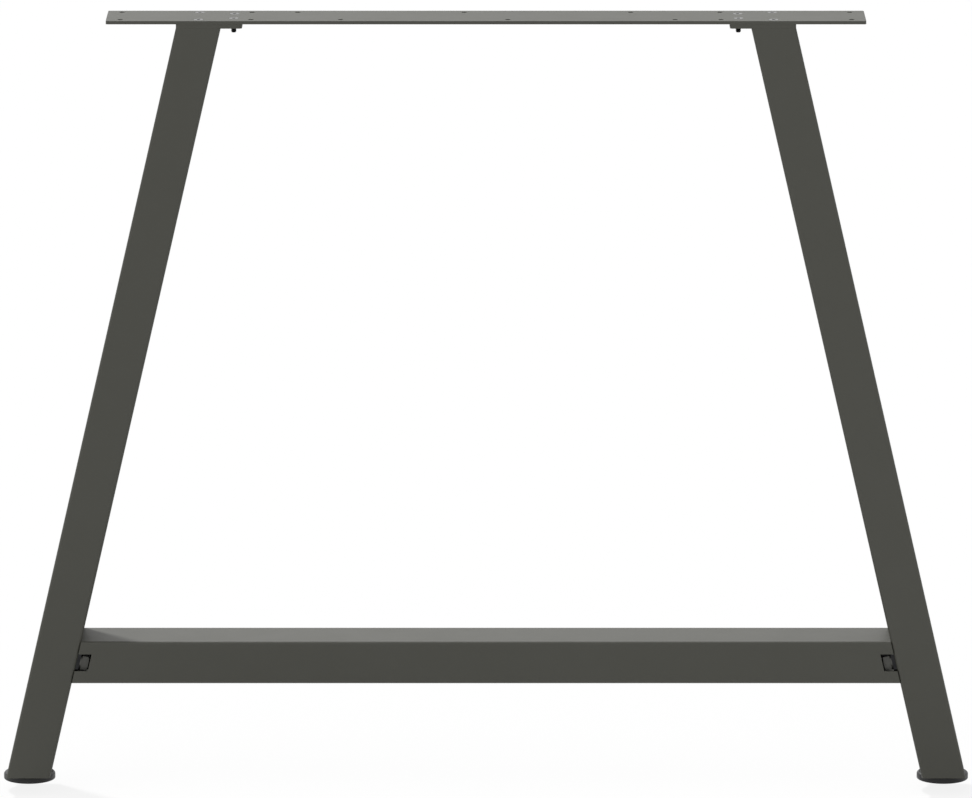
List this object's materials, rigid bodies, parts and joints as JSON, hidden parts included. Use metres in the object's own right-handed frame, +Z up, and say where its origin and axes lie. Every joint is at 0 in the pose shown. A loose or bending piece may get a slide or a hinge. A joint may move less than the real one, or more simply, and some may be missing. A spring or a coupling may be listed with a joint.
{
  "type": "trestle table leg",
  "caption": "A-shaped steel table leg: slanted rectangular tubes under a drilled top plate, tied by a low crossbar, on round screw-in levelling feet.",
  "frame": {"origin": "on the floor, midway between the two feet", "axes": "+X across the table, +Y along the table and away from the picture's camera, +Z up"},
  "size_m": [0.9, 0.06, 0.72],
  "materials": {
    "powder_coat": "satin",
    "black_steel": "satin",
    "dark_zinc": "matte",
    "plated_steel": "satin",
    "black_plastic": "matte"
  },
  "bodies": {
    "frame": {"top_plate": "powder_coat", "crossbar_tube": "powder_coat", "left_leg_tube": "powder_coat", "left_top_flange": "powder_coat", "left_flange_bolts": "black_steel", "left_crossbar_end_plate": "black_steel", "left_crossbar_studs": "black_steel", "left_crossbar_washers": "dark_zinc", "left_crossbar_nuts": "dark_zinc", "left_foot_end_plate": "powder_coat", "left_foot_nut": "plated_steel", "right_leg_tube": "powder_coat", "right_top_flange": "powder_coat", "right_flange_bolts": "black_steel", "right_crossbar_end_plate": "black_steel", "right_crossbar_studs": "black_steel", "right_crossbar_washers": "dark_zinc", "right_crossbar_nuts": "dark_zinc", "right_foot_end_plate": "powder_coat", "right_foot_nut": "plated_steel"},
    "left_foot": {"left_foot_pad": "black_plastic", "left_foot_stud": "plated_steel"},
    "right_foot": {"right_foot_pad": "black_plastic", "right_foot_stud": "plated_steel"}
  },
  "joints": [
    {"name": "left_foot_screw", "type": "slide", "parent": "frame", "child": "left_foot", "axis": [0, 0, -1], "range_m": [0, 0.01]},
    {"name": "right_foot_screw", "type": "slide", "parent": "frame", "child": "right_foot", "axis": [0, 0, -1], "range_m": [0, 0.01]}
  ]
}
